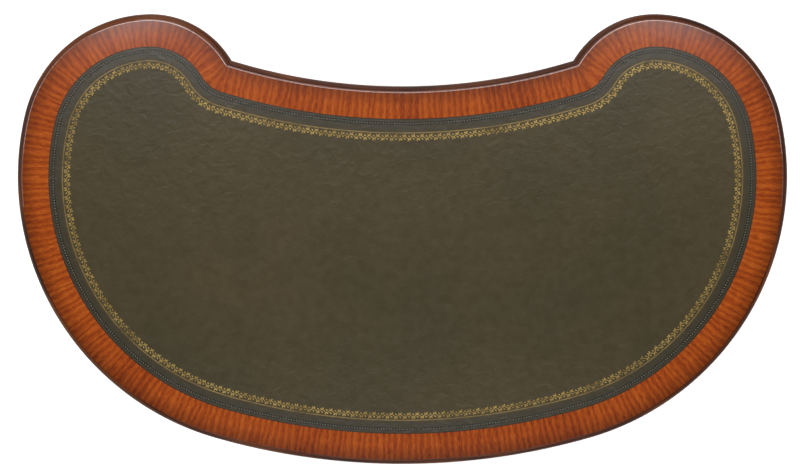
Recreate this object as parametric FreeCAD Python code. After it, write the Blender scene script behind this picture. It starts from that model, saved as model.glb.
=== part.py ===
import FreeCAD
import Part
import math
import os

from FreeCAD import Vector

# Kidney-shaped pedestal writing desk, in millimetres, +Z up.
# The user sits on the -Y side, in the hollow of the kidney, and X runs along the desk.
# The origin lies on the floor, under the middle of the rectangle around the top.

# Outline of the top seen from above, on the widest line of its moulded edge.
# It is a chain of arcs that run into each other without a corner, up to the notch at the kneehole.
# Turns are counted from straight back towards the side.
# The hollow is measured in from the front of the lobes.
BACK_RADIUS = 1171.0
FLANK_RADIUS = 464.0
LOBE_RADIUS = 227.0
TIP_RADIUS = 158.0
KNEEHOLE_RADIUS = 999.0
BACK_TURN = math.radians(16.1)
FLANK_TURN = math.radians(104.2)
LOBE_TURN = math.radians(178.0)
HOLLOW_DEPTH = 122.0

# The top: a board with a solid moulded edge, a crossbanded border and a leather.
TOP_THICKNESS = 30.0
SURFACE_THICKNESS = 1.5
EDGE_WIDTH = 36.0
ARRIS_SETBACK = 10.0
NOSE_DROP = 13.0
NOSE_HEIGHT = 4.0
COVE_SETBACK = 14.0
COVE_FOOT = 4.0
LEATHER_SETBACK = 56.0
JOIN_TOLERANCE = 0.001

# The carcase below the top.
CARCASE_SETBACK = 35.0
SHELL_THICKNESS = 18.0
SIDE_THICKNESS = 20.0
BOARD_THICKNESS = 14.0
HOUSING_DEPTH = 5.0
PLINTH_HEIGHT = 85.0
PLINTH_THICKNESS = 22.0
PLINTH_PROJECTION = 8.0
PLINTH_CHAMFER_HEIGHT = 10.0
RAIL_DEPTH = 60.0
RUNNER_WIDTH = 24.0
BLOCK_SIZE = 24.0
BLOCK_LENGTH = 50.0
BLOCK_GAP = 40.0

# Drawer openings from the top down, and the width of a pedestal's openings.
TOP_OPENING = 108.0
SECOND_OPENING = 144.0
THIRD_OPENING = 161.0
LOWEST_OPENING = 178.0
PEDESTAL_OPENING_WIDTH = 240.0

# The drawers.
FRONT_THICKNESS = 20.0
FRONT_GAP = 1.5
DRAWER_SIDE_THICKNESS = 11.0
DRAWER_BACK_THICKNESS = 10.0
DRAWER_BOTTOM_THICKNESS = 6.0
DRAWER_BOTTOM_RISE = 9.0
DRAWER_HEADROOM = 8.0
DRAWER_BACK_DROP = 6.0
DRAWER_REAR_CLEARANCE = 12.0
CENTRE_DRAWER_DEPTH = 320.0
RUN_CLEARANCE = 0.3
GROOVE_DEPTH = 4.0
TAIL_PITCH = 32.0
TAIL_LAP = 9.0
TAIL_LENGTH = 26.0
TAIL_TIP_SHARE = 0.36
TAIL_ROOT_SHARE = 0.26

# The drop handles.
HANDLE_HALF_SPAN = 28.0
HANDLE_STANDOFF = 15.0
HANDLE_RISE = 11.0
CENTRE_HANDLE_SHARE = 0.5
ROSE_RADIUS = 9.0
ROSE_THICKNESS = 2.5
ROSE_SINK = 10.0
COLLAR_RADIUS = 6.0
COLLAR_THICKNESS = 4.5
NECK_RADIUS = 3.6
BALL_RADIUS = 6.0
SHANK_RADIUS = 2.0
SHANK_CLEARANCE = 0.2
SHANK_END = 1.6
NUT_CORNER_RADIUS = 4.6
NUT_THICKNESS = 3.2
NUT_CLEARANCE = 0.05
NUT_SEAT_RADIUS = 6.5
NUT_SEAT_DEPTH = 15.0
BAIL_ROD_RADIUS = 2.3
PIN_CLEARANCE = 0.08
PIN_END = 1.2
BEND_GAP = 1.0
BEND_RADIUS = 6.0
GRIP_RADIUS = 17.0
BAIL_DROP = 30.0

UP = Vector(0, 0, 1)
MIDDLE = Vector(0, 0, 0)
ACROSS = Vector(1, 0, 0)


def toward(turn):
    """Unit vector that lies `turn` round from straight back towards the right-hand side."""
    return Vector(math.sin(turn), math.cos(turn), 0)


# Heights of the main levels, worked out from the floor up.
openings = (TOP_OPENING, SECOND_OPENING, THIRD_OPENING, LOWEST_OPENING)
ceiling = PLINTH_HEIGHT + sum(openings) + BOARD_THICKNESS * len(openings)
top_level = ceiling + TOP_THICKNESS
ground_level = top_level - SURFACE_THICKNESS

# Centres of the outline's arcs. The back point is put where the rectangle around the outline is centred.
chain_back = Vector(0, -BACK_RADIUS, 0)
chain_flank = chain_back + toward(BACK_TURN) * (BACK_RADIUS - FLANK_RADIUS)
chain_lobe = chain_flank + toward(FLANK_TURN) * (FLANK_RADIUS - LOBE_RADIUS)
chain_tip = chain_lobe + toward(LOBE_TURN) * (LOBE_RADIUS - TIP_RADIUS)
to_centre = Vector(0, (TIP_RADIUS - chain_tip.y) / 2, 0)
back_centre = chain_back + to_centre
flank_centre = chain_flank + to_centre
lobe_centre = chain_lobe + to_centre
tip_centre = chain_tip + to_centre
kneehole_front = HOLLOW_DEPTH - to_centre.y
kneehole_centre = Vector(0, kneehole_front - KNEEHOLE_RADIUS, 0)
reach = BACK_RADIUS + KNEEHOLE_RADIUS


def notch_point(setback):
    """Corner where the lobe's tip arc and the kneehole arc meet, both moved inwards by `setback`."""
    tip_radius = TIP_RADIUS - setback
    hole_radius = KNEEHOLE_RADIUS + setback
    line = tip_centre - kneehole_centre
    along = (hole_radius ** 2 - tip_radius ** 2 + line.Length ** 2) / (2 * line.Length)
    aside = math.sqrt(hole_radius ** 2 - along ** 2)
    unit = line / line.Length
    return kneehole_centre + unit * along + Vector(-unit.y, unit.x, 0) * aside


notch = notch_point(0)
tip_turn = math.atan2(notch.x - tip_centre.x, notch.y - tip_centre.y) + 2 * math.pi
hole_turn = math.atan2(notch.x - kneehole_centre.x, notch.y - kneehole_centre.y)


def turned_arc(centre, radius, start, end):
    """Arc edge about `centre` between two turns."""
    points = [centre + toward(turn) * radius for turn in (start, (start + end) / 2, end)]
    return Part.Arc(*points).toShape()


def mirrored(shape):
    """The same shape on the other side of the desk's middle."""
    return shape.mirror(MIDDLE, ACROSS)


def kidney_face(setback, mitred=False):
    """Face inside the outline moved inwards by `setback`, with a mitred or a rounded notch."""
    corner = notch_point(setback) if mitred else notch
    tip_end = math.atan2(corner.x - tip_centre.x, corner.y - tip_centre.y) + 2 * math.pi
    hole_end = math.atan2(corner.x - kneehole_centre.x, corner.y - kneehole_centre.y)
    right = [turned_arc(flank_centre, FLANK_RADIUS - setback, BACK_TURN, FLANK_TURN),
             turned_arc(lobe_centre, LOBE_RADIUS - setback, FLANK_TURN, LOBE_TURN),
             turned_arc(tip_centre, TIP_RADIUS - setback, LOBE_TURN, tip_end)]
    if setback > 0 and not mitred:
        right.append(turned_arc(notch, setback, hole_end, tip_end - math.pi))
    back = turned_arc(back_centre, BACK_RADIUS - setback, -BACK_TURN, BACK_TURN)
    hole = turned_arc(kneehole_centre, KNEEHOLE_RADIUS + setback, -hole_end, hole_end)
    edges = [back, hole] + right + [mirrored(edge) for edge in right]
    return Part.Face(Part.Wire(Part.__sortEdges__(edges)))


def kidney_block(setback, low, high, mitred=False):
    """Upright block inside the outline moved inwards by `setback`."""
    face = kidney_face(setback, mitred)
    face.translate(UP * low)
    return face.extrude(UP * (high - low))


def kidney_ring(setback, width, low, high):
    """Upright wall that follows the outline: its outer face lies at `setback`."""
    return kidney_block(setback, low, high).cut(kidney_block(setback + width, low, high))


def span_box(x0, x1, y0, y1, low, high):
    """Box between two limits on each axis."""
    return Part.makeBox(x1 - x0, y1 - y0, high - low, Vector(x0, y0, low))


def front_y(x, setback):
    """Where a line along Y at `x` first meets the outline moved inwards by `setback`."""
    line = Part.makeLine(Vector(x, -reach, 0), Vector(x, 0, 0))
    return min(vertex.Y for vertex in line.common(kidney_face(setback)).Vertexes)


def rear_y(x, setback):
    """Where a line along Y at `x` last meets the outline moved inwards by `setback`."""
    line = Part.makeLine(Vector(x, 0, 0), Vector(x, reach, 0))
    return max(vertex.Y for vertex in line.common(kidney_face(setback)).Vertexes)


def edge_profile(centre, radius, inward):
    """Section of the moulded edge at the desk's middle; `inward` is -1 at the back, 1 at the kneehole."""
    def at(setback, drop):
        return centre + toward(0) * (radius + inward * setback) + UP * (top_level - drop)

    ovolo_height = NOSE_DROP - SURFACE_THICKNESS
    ovolo_radius = (ARRIS_SETBACK ** 2 + ovolo_height ** 2) / (2 * ARRIS_SETBACK)
    ovolo_half = math.atan2(ovolo_height, ovolo_radius - ARRIS_SETBACK) / 2
    ovolo_setback = ovolo_radius * (1 - math.cos(ovolo_half))
    ovolo_drop = NOSE_DROP - ovolo_radius * math.sin(ovolo_half)
    cove_top = NOSE_DROP + NOSE_HEIGHT
    cove_foot = TOP_THICKNESS - COVE_FOOT
    eighth = math.cos(math.pi / 4)
    cove_setback = COVE_SETBACK * eighth
    cove_drop = cove_foot - (cove_foot - cove_top) * eighth
    inner = EDGE_WIDTH + ARRIS_SETBACK
    arris = at(ARRIS_SETBACK, SURFACE_THICKNESS)
    nose = at(0, NOSE_DROP)
    quirk = at(0, cove_top)
    foot = at(COVE_SETBACK, cove_foot)
    edges = [Part.makeLine(at(inner, SURFACE_THICKNESS), arris),
             Part.Arc(arris, at(ovolo_setback, ovolo_drop), nose).toShape(),
             Part.makeLine(nose, quirk),
             Part.Arc(quirk, at(cove_setback, cove_drop), foot).toShape(),
             Part.makeLine(foot, at(COVE_SETBACK, TOP_THICKNESS)),
             Part.makeLine(at(COVE_SETBACK, TOP_THICKNESS), at(inner, TOP_THICKNESS)),
             Part.makeLine(at(inner, TOP_THICKNESS), at(inner, SURFACE_THICKNESS))]
    return Part.Face(Part.Wire(edges))


def build_edge():
    """Moulded edge round the whole top, with the stretches run past the notch so that they mitre."""
    past_tip = tip_turn + EDGE_WIDTH / TIP_RADIUS
    past_hole = hole_turn + EDGE_WIDTH / KNEEHOLE_RADIUS
    line = [turned_arc(back_centre, BACK_RADIUS, 0, BACK_TURN),
            turned_arc(flank_centre, FLANK_RADIUS, BACK_TURN, FLANK_TURN),
            turned_arc(lobe_centre, LOBE_RADIUS, FLANK_TURN, LOBE_TURN),
            turned_arc(tip_centre, TIP_RADIUS, LOBE_TURN, past_tip)]
    for edge in line:
        edge.translate(UP * top_level)
    sweep = Part.BRepOffsetAPI.MakePipeShell(Part.Wire(line))
    sweep.setBiNormalMode(UP)
    sweep.add(edge_profile(back_centre, BACK_RADIUS, -1).OuterWire)
    sweep.build()
    sweep.makeSolid()
    hole = edge_profile(kneehole_centre, KNEEHOLE_RADIUS, 1)
    hole = hole.revolve(kneehole_centre, -UP, math.degrees(past_hole))
    half = sweep.shape().fuse([hole], JOIN_TOLERANCE).cut(kidney_block(EDGE_WIDTH, ceiling, top_level))
    return half.fuse([mirrored(half)], JOIN_TOLERANCE).removeSplitter()


# Lines of the pedestal plan. The kneehole face of a side stands where the kneehole arc of the carcase ends.
kneehole_x = notch.x * (KNEEHOLE_RADIUS + CARCASE_SETBACK) / KNEEHOLE_RADIUS
opening_x0 = kneehole_x + SIDE_THICKNESS
opening_x1 = opening_x0 + PEDESTAL_OPENING_WIDTH
shell_inside = CARCASE_SETBACK + SHELL_THICKNESS


def build_boards():
    """The bottom board and the drawer dividers of the right-hand pedestal, from the top down."""
    housed = shell_inside - HOUSING_DEPTH
    boards = []
    level = ceiling
    for opening in openings:
        high = level - opening
        low = high - BOARD_THICKNESS
        inside = span_box(opening_x0 - HOUSING_DEPTH, reach, -reach, reach, low, high)
        front = span_box(opening_x0, opening_x1, -reach, 0, low, high)
        board = kidney_block(housed, low, high).common(inside)
        lip = kidney_block(CARCASE_SETBACK, low, high).common(front)
        boards.append(board.fuse(lip).removeSplitter())
        level = low
    return boards


def build_shell(boards):
    """Curved wall from the drawer openings round the flank to the back, housed for the boards."""
    flank = span_box(opening_x1, reach, -reach, reach, PLINTH_HEIGHT, ceiling)
    rear = span_box(kneehole_x, reach, 0, reach, PLINTH_HEIGHT, ceiling)
    wall = kidney_ring(CARCASE_SETBACK, SHELL_THICKNESS, PLINTH_HEIGHT, ceiling)
    return wall.common(flank.fuse(rear)).cut(Part.makeCompound(boards))


def build_inner_side(boards, rail):
    """Flat side of the pedestal that faces the kneehole, housed for the boards and the rail."""
    slab = span_box(kneehole_x, opening_x0, -reach, reach, PLINTH_HEIGHT, ceiling)
    wall = kidney_ring(CARCASE_SETBACK, SHELL_THICKNESS, PLINTH_HEIGHT, ceiling)
    rear = wall.common(span_box(kneehole_x, opening_x0, 0, reach, PLINTH_HEIGHT, ceiling))
    side = slab.common(kidney_block(CARCASE_SETBACK, PLINTH_HEIGHT, ceiling)).cut(rear)
    return side.cut(Part.makeCompound(boards)).cut(rail)


def build_plinth():
    """Plinth frames of both pedestals and the strip under the back panel."""
    setback = CARCASE_SETBACK - PLINTH_PROJECTION
    shoulder = PLINTH_HEIGHT - PLINTH_CHAMFER_HEIGHT
    lower = kidney_block(setback, 0, shoulder)
    foot_line = kidney_face(setback).OuterWire
    foot_line.translate(UP * shoulder)
    head_line = kidney_face(CARCASE_SETBACK).OuterWire
    head_line.translate(UP * PLINTH_HEIGHT)
    mass = lower.fuse(Part.makeLoft([foot_line, head_line], True, True))
    hollow = kidney_block(setback + PLINTH_THICKNESS, 0, PLINTH_HEIGHT)
    side_x = kneehole_x - PLINTH_PROJECTION
    frame = mass.common(span_box(side_x, reach, -reach, reach, 0, PLINTH_HEIGHT))
    inside = span_box(side_x + PLINTH_THICKNESS, reach, -reach, reach, 0, PLINTH_HEIGHT)
    frame = frame.cut(hollow.common(inside))
    corner = [Vector(side_x, -reach, shoulder), Vector(side_x, -reach, PLINTH_HEIGHT),
              Vector(kneehole_x, -reach, PLINTH_HEIGHT), Vector(side_x, -reach, shoulder)]
    chamfer_length = rear_y(kneehole_x, setback + PLINTH_THICKNESS) + reach
    right = frame.cut(Part.Face(Part.makePolygon(corner)).extrude(Vector(0, chamfer_length, 0)))
    strip = mass.cut(hollow).common(span_box(-side_x, side_x, 0, reach, 0, PLINTH_HEIGHT))
    return Part.makeCompound([right, mirrored(right), strip])


def build_rail():
    """Curved rail under the kneehole drawer, with its ends housed in the pedestal sides."""
    high = ceiling - TOP_OPENING
    low = high - BOARD_THICKNESS
    end = kneehole_x + HOUSING_DEPTH
    ring = kidney_ring(CARCASE_SETBACK, RAIL_DEPTH, low, high)
    return ring.common(span_box(-end, end, -reach, 0, low, high))


def build_runner(rail, back):
    """Right-hand runner of the kneehole drawer, from the rail to the drawer's back."""
    high = ceiling - TOP_OPENING
    low = high - BOARD_THICKNESS
    inside = kidney_block(CARCASE_SETBACK, low, high)
    return span_box(kneehole_x - RUNNER_WIDTH, kneehole_x, -reach, back, low, high).common(inside).cut(rail)


def build_blocks(behind_drawer, behind_centre):
    """Blocks that fix the top: beside the inner sides and on the back panel."""
    low = ceiling - BLOCK_SIZE
    start = behind_centre + BLOCK_GAP
    kneehole = span_box(kneehole_x - BLOCK_SIZE, kneehole_x, start, start + BLOCK_LENGTH, low, ceiling)
    start = behind_drawer + BLOCK_GAP
    pedestal = span_box(opening_x0, opening_x0 + BLOCK_SIZE, start, start + BLOCK_LENGTH, low, ceiling)
    edge = kneehole_x / 2
    row = span_box(edge - BLOCK_LENGTH / 2, edge + BLOCK_LENGTH / 2, 0, reach, low, ceiling)
    rear = kidney_ring(shell_inside, BLOCK_SIZE, low, ceiling).common(row)
    right = [kneehole, pedestal, rear]
    return Part.makeCompound(right + [mirrored(block) for block in right])


def surface_spot(x):
    """Point on the carcase front at `x`, and the angle by which the front is turned there."""
    if x < notch.x:
        centre = kneehole_centre
        radius = KNEEHOLE_RADIUS + CARCASE_SETBACK
        y = centre.y + math.sqrt(radius ** 2 - x ** 2)
        normal = (centre - Vector(x, y, 0)) / radius
    else:
        join = tip_centre + toward(LOBE_TURN) * (TIP_RADIUS - CARCASE_SETBACK)
        on_tip = x < join.x
        centre = tip_centre if on_tip else lobe_centre
        radius = (TIP_RADIUS if on_tip else LOBE_RADIUS) - CARCASE_SETBACK
        y = centre.y - math.sqrt(radius ** 2 - (x - centre.x) ** 2)
        normal = (Vector(x, y, 0) - centre) / radius
    return Vector(x, y, 0), math.degrees(math.atan2(normal.x, -normal.y))


def placed(shape, spot, angle, level):
    """Copy of a handle piece, turned to the front and moved to its place."""
    copy = shape.copy()
    copy.rotate(MIDDLE, UP, angle)
    copy.translate(spot + UP * level)
    return copy


def rod(radius, x, start, end):
    """Round bar square to the front, from depth `start` to depth `end`."""
    return Part.makeCylinder(radius, end - start, Vector(x, start, 0), Vector(0, 1, 0))


def build_post(x, spot, angle, level, front_block):
    """Handle post: rose, collar, neck, bored ball and threaded shank, seated on the curved front."""
    head = rod(ROSE_RADIUS, x, -ROSE_THICKNESS, ROSE_SINK)
    head = head.fuse(rod(COLLAR_RADIUS, x, -COLLAR_THICKNESS, ROSE_SINK))
    head = head.fuse(rod(NECK_RADIUS, x, -HANDLE_STANDOFF, ROSE_SINK))
    ball = Part.makeSphere(BALL_RADIUS, Vector(x, -HANDLE_STANDOFF, 0), ACROSS)
    bore_start = Vector(x - 2 * BALL_RADIUS, -HANDLE_STANDOFF, 0)
    bore = Part.makeCylinder(BAIL_ROD_RADIUS + PIN_CLEARANCE, 4 * BALL_RADIUS, bore_start, ACROSS)
    head = head.fuse(ball).cut(bore)
    shank = rod(SHANK_RADIUS, x, -COLLAR_THICKNESS, NUT_SEAT_DEPTH + NUT_THICKNESS + SHANK_END)
    seated = placed(head, spot, angle, level).cut(front_block)
    return seated.fuse(placed(shank, spot, angle, level)).removeSplitter()


def build_nut(x):
    """Hexagon nut on the inside of the drawer front."""
    corners = []
    for step in range(7):
        angle = step * math.pi / 3
        across = Vector(math.cos(angle), 0, math.sin(angle)) * NUT_CORNER_RADIUS
        corners.append(Vector(x, NUT_SEAT_DEPTH, 0) + across)
    blank = Part.Face(Part.makePolygon(corners)).extrude(Vector(0, NUT_THICKNESS, 0))
    return blank.cut(rod(SHANK_RADIUS + NUT_CLEARANCE, x, 0, NUT_SEAT_DEPTH + FRONT_THICKNESS))


def build_bail():
    """Swinging bail: one bent rod whose ends turn in the posts."""
    leg_x = HANDLE_HALF_SPAN + BALL_RADIUS + BEND_GAP + BEND_RADIUS
    pin_x = HANDLE_HALF_SPAN - BALL_RADIUS - PIN_END

    def at(x, z):
        return Vector(x, -HANDLE_STANDOFF, z)

    eighth = math.cos(math.pi / 4)
    bend_x = leg_x - BEND_RADIUS
    grip_x = leg_x - GRIP_RADIUS
    leg_foot = GRIP_RADIUS - BAIL_DROP
    bend_middle = at(bend_x + BEND_RADIUS * eighth, BEND_RADIUS * (eighth - 1))
    grip_middle = at(grip_x + GRIP_RADIUS * eighth, leg_foot - GRIP_RADIUS * eighth)
    half = [Part.makeLine(at(pin_x, 0), at(bend_x, 0)),
            Part.Arc(at(bend_x, 0), bend_middle, at(leg_x, -BEND_RADIUS)).toShape(),
            Part.makeLine(at(leg_x, -BEND_RADIUS), at(leg_x, leg_foot)),
            Part.Arc(at(leg_x, leg_foot), grip_middle, at(grip_x, -BAIL_DROP)).toShape()]
    grip = Part.makeLine(at(grip_x, -BAIL_DROP), at(-grip_x, -BAIL_DROP))
    path = Part.Wire(Part.__sortEdges__(half + [grip] + [mirrored(edge) for edge in half]))
    section = Part.Wire(Part.makeCircle(BAIL_ROD_RADIUS, at(pin_x, 0), ACROSS))
    return path.makePipeShell([section], True, False)


def build_drawer(x0, x1, back, low, opening, handle_places):
    """All pieces of one drawer: front, box (two sides and a back), bottom, posts with nuts, bails."""
    left = x0 + FRONT_GAP
    right = x1 - FRONT_GAP
    front_low = low + FRONT_GAP
    front_high = low + opening - FRONT_GAP
    side_low = low + RUN_CLEARANCE
    side_high = low + opening - DRAWER_HEADROOM
    front = kidney_ring(CARCASE_SETBACK, FRONT_THICKNESS, front_low, front_high)
    front = front.common(span_box(left, right, -reach, 0, front_low, front_high))

    behind_front = CARCASE_SETBACK + FRONT_THICKNESS
    inside = kidney_block(behind_front, side_low, side_high)
    sides = []
    for outer, inner in ((left, left + DRAWER_SIDE_THICKNESS), (right, right - DRAWER_SIDE_THICKNESS)):
        side_x0 = min(outer, inner)
        side_x1 = max(outer, inner)
        side = span_box(side_x0, side_x1, -reach, back, side_low, side_high).common(inside)
        tip = front_y(outer, CARCASE_SETBACK) + TAIL_LAP
        root = tip + TAIL_LENGTH
        count = max(2, int((side_high - side_low) // TAIL_PITCH))
        pitch = (side_high - side_low) / count
        for number in range(count):
            middle = side_low + pitch * (number + 1 / 2)
            wide = pitch * TAIL_TIP_SHARE
            narrow = pitch * TAIL_ROOT_SHARE
            corners = [Vector(side_x0, tip, middle - wide), Vector(side_x0, tip, middle + wide),
                       Vector(side_x0, root, middle + narrow), Vector(side_x0, root, middle - narrow),
                       Vector(side_x0, tip, middle - wide)]
            tail = Part.Face(Part.makePolygon(corners)).extrude(Vector(DRAWER_SIDE_THICKNESS, 0, 0))
            side = side.fuse(tail)
        sides.append(side.removeSplitter())

    floor_low = side_low + DRAWER_BOTTOM_RISE
    floor_high = floor_low + DRAWER_BOTTOM_THICKNESS
    groove_x0 = left + DRAWER_SIDE_THICKNESS - GROOVE_DEPTH
    groove_x1 = right - DRAWER_SIDE_THICKNESS + GROOVE_DEPTH
    floor = kidney_block(behind_front - GROOVE_DEPTH, floor_low, floor_high)
    floor = floor.common(span_box(groove_x0, groove_x1, -reach, back, floor_low, floor_high))
    rear_high = side_high - DRAWER_BACK_DROP
    rear = span_box(groove_x0, groove_x1, back - DRAWER_BACK_THICKNESS, back, floor_high, rear_high)
    front = front.cut(Part.makeCompound(sides)).cut(floor)
    sides = [side.cut(floor).cut(rear) for side in sides]

    level = (front_low + front_high) / 2 + HANDLE_RISE
    front_block = kidney_block(CARCASE_SETBACK, low, low + opening)
    fittings = []
    bails = []
    for x in handle_places:
        spot, angle = surface_spot(x)
        for post_x in (-HANDLE_HALF_SPAN, HANDLE_HALF_SPAN):
            hole = rod(SHANK_RADIUS + SHANK_CLEARANCE, post_x, -FRONT_THICKNESS, 2 * FRONT_THICKNESS)
            seat = rod(NUT_SEAT_RADIUS, post_x, NUT_SEAT_DEPTH, 2 * FRONT_THICKNESS)
            front = front.cut(placed(hole.fuse(seat), spot, angle, level))
            fittings.append(build_post(post_x, spot, angle, level, front_block))
            fittings.append(placed(build_nut(post_x), spot, angle, level))
        bails.append(placed(build_bail(), spot, angle, level))
    return {"front": front, "box": Part.makeCompound(sides + [rear]), "bottom": floor,
            "handle_posts": Part.makeCompound(fittings), "bails": bails}


nodes = {}

# The top.
nodes["top_board"] = kidney_block(EDGE_WIDTH, ceiling, ground_level)
nodes["edge_moulding"] = build_edge()
border = kidney_block(ARRIS_SETBACK, ground_level, top_level, True)
nodes["crossband_border"] = border.cut(kidney_block(LEATHER_SETBACK, ground_level, top_level))
nodes["leather_surface"] = kidney_block(LEATHER_SETBACK, ground_level, top_level)

# The pedestals, the back and the frame of the kneehole drawer.
drawer_back = rear_y(opening_x1, shell_inside) - DRAWER_REAR_CLEARANCE
centre_back = kneehole_front + CARCASE_SETBACK + CENTRE_DRAWER_DEPTH
boards = build_boards()
rail = build_rail()
runner = build_runner(rail, centre_back)
shell = build_shell(boards)
inner_side = build_inner_side(boards, rail)
for side_name, turn_over in (("right", False), ("left", True)):
    pieces = {"pedestal_boards": Part.makeCompound(boards), "outer_shell": shell, "inner_side": inner_side}
    for name, shape in pieces.items():
        nodes[f"{side_name}_{name}"] = mirrored(shape) if turn_over else shape
back_gap = span_box(-kneehole_x, kneehole_x, 0, reach, PLINTH_HEIGHT, ceiling)
nodes["back_panel"] = kidney_ring(CARCASE_SETBACK, SHELL_THICKNESS, PLINTH_HEIGHT, ceiling).common(back_gap)
nodes["plinth"] = build_plinth()
nodes["kneehole_drawer_frame"] = Part.makeCompound([rail, runner, mirrored(runner)])
nodes["top_fixing_blocks"] = build_blocks(drawer_back, centre_back)

# The drawers: one over the kneehole, with two handles, and four in each pedestal, with one.
handle_x = kneehole_x * CENTRE_HANDLE_SHARE
drawers = {"centre_drawer": build_drawer(-kneehole_x, kneehole_x, centre_back, ceiling - TOP_OPENING,
                                         TOP_OPENING, [handle_x, -handle_x])}
level = ceiling
for number, opening in enumerate(openings, 1):
    low = level - opening
    middle_x = (opening_x0 + opening_x1) / 2
    pieces = build_drawer(opening_x0, opening_x1, drawer_back, low, opening, [middle_x])
    drawers[f"right_drawer_{number}"] = pieces
    flipped = {name: mirrored(shape) for name, shape in pieces.items() if name != "bails"}
    flipped["bails"] = [mirrored(bail) for bail in pieces["bails"]]
    drawers[f"left_drawer_{number}"] = flipped
    level = low - BOARD_THICKNESS

for drawer_name, pieces in drawers.items():
    for name in ("front", "box", "bottom", "handle_posts"):
        nodes[f"{drawer_name}_{name}"] = pieces[name]
    sides = ("right", "left") if len(pieces["bails"]) > 1 else ("",)
    for side_name, bail in zip(sides, pieces["bails"]):
        nodes["_".join(word for word in (drawer_name, side_name, "bail") if word)] = bail

os.makedirs("parts", exist_ok=True)
for name, shape in nodes.items():
    shape.exportStep(os.path.join("parts", f"{name}.step"))
    print(name, len(shape.Solids), "solids", shape.isValid())
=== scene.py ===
# %% [markdown]
# # A kidney-shaped writing desk
# The desk has a kidney-shaped top with a tooled leather, and two pedestals of drawers under its lobes.
# The CAD model already holds every solid piece at its true size, so this lesson only dresses it.
# It makes the thin, fine things that a cabinet maker adds last, and gives wood, metal and leather their
# finish.
# Everything is in metres. The floor is at zero, X runs along the desk, and the user sits on the -Y side.

# %% Load the CAD pieces
import math
from collections import namedtuple

import bmesh
import bpy
from mathutils import Matrix, Vector


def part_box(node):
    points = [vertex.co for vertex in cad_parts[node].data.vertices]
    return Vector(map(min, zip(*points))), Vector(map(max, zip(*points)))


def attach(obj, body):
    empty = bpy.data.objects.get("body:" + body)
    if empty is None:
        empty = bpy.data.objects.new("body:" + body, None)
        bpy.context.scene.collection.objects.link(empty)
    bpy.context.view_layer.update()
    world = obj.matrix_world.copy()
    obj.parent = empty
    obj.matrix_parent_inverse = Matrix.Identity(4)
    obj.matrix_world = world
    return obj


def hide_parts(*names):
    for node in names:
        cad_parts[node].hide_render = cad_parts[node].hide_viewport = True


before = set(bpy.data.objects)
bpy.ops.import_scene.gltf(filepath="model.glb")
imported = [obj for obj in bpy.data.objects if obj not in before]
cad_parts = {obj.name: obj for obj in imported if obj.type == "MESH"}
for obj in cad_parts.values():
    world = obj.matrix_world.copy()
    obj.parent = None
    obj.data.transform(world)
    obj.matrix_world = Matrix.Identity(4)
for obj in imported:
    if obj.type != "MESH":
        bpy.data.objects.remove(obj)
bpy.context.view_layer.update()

# %% [markdown]
# ## The outline of the top
# Every band on the top follows the same line, so that line is described once.
# It could be traced freehand, but a cabinet maker draws it with compasses: arcs that run into each other.
# A point then has two handy measures: how far along the edge it lies, and how far it is set back from it.
# Only the right half is described, because the left half is its mirror image.

# %% The arcs of the outline, from the middle of the back round to the middle of the kneehole
BACK_RADIUS = 1.171
FLANK_RADIUS = 0.464
LOBE_RADIUS = 0.227
TIP_RADIUS = 0.158
KNEEHOLE_RADIUS = 0.999
BACK_TURN = math.radians(16.1)
FLANK_TURN = math.radians(104.2)
LOBE_TURN = math.radians(178.0)
HOLLOW_DEPTH = 0.122
Stretch = namedtuple("Stretch", "centre radius inward start end")


def toward(turn):
    """Unit vector that lies `turn` round from straight back towards the right-hand side."""
    return Vector((math.sin(turn), math.cos(turn), 0))


back = Vector((0, -BACK_RADIUS, 0))
flank = back + toward(BACK_TURN) * (BACK_RADIUS - FLANK_RADIUS)
lobe = flank + toward(FLANK_TURN) * (FLANK_RADIUS - LOBE_RADIUS)
tip = lobe + toward(LOBE_TURN) * (LOBE_RADIUS - TIP_RADIUS)
to_centre = Vector((0, (TIP_RADIUS - tip.y) / 2, 0))
back, flank, lobe, tip = (centre + to_centre for centre in (back, flank, lobe, tip))
kneehole = Vector((0, HOLLOW_DEPTH - to_centre.y - KNEEHOLE_RADIUS, 0))

gap = tip - kneehole
along_gap = (KNEEHOLE_RADIUS ** 2 - TIP_RADIUS ** 2 + gap.length_squared) / (2 * gap.length)
beside_gap = math.sqrt(KNEEHOLE_RADIUS ** 2 - along_gap ** 2)
unit = gap.normalized()
notch = kneehole + unit * along_gap + Vector((-unit.y, unit.x, 0)) * beside_gap
tip_turn = math.atan2(notch.x - tip.x, notch.y - tip.y) + 2 * math.pi
hole_turn = math.atan2(notch.x - kneehole.x, notch.y - kneehole.y)

STRETCHES = [
    Stretch(back, BACK_RADIUS, -1, 0, BACK_TURN),
    Stretch(flank, FLANK_RADIUS, -1, BACK_TURN, FLANK_TURN),
    Stretch(lobe, LOBE_RADIUS, -1, FLANK_TURN, LOBE_TURN),
    Stretch(tip, TIP_RADIUS, -1, LOBE_TURN, tip_turn),
    Stretch(notch, 0, 1, tip_turn - math.pi, hole_turn),
    Stretch(kneehole, KNEEHOLE_RADIUS, 1, hole_turn, 0),
]
print("notch at", tuple(round(c, 4) for c in notch))

# %% Measures along the outline and in from it
BAND_LINE = 0.030


def stretch_length(stretch, setback):
    """Length of one arc of the outline, moved inwards by `setback`."""
    return abs(stretch.end - stretch.start) * (stretch.radius + stretch.inward * setback)


def half_length(line):
    """Half the way round the desk, measured on the outline moved inwards by `line`."""
    return sum(stretch_length(stretch, line) for stretch in STRETCHES)


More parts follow.
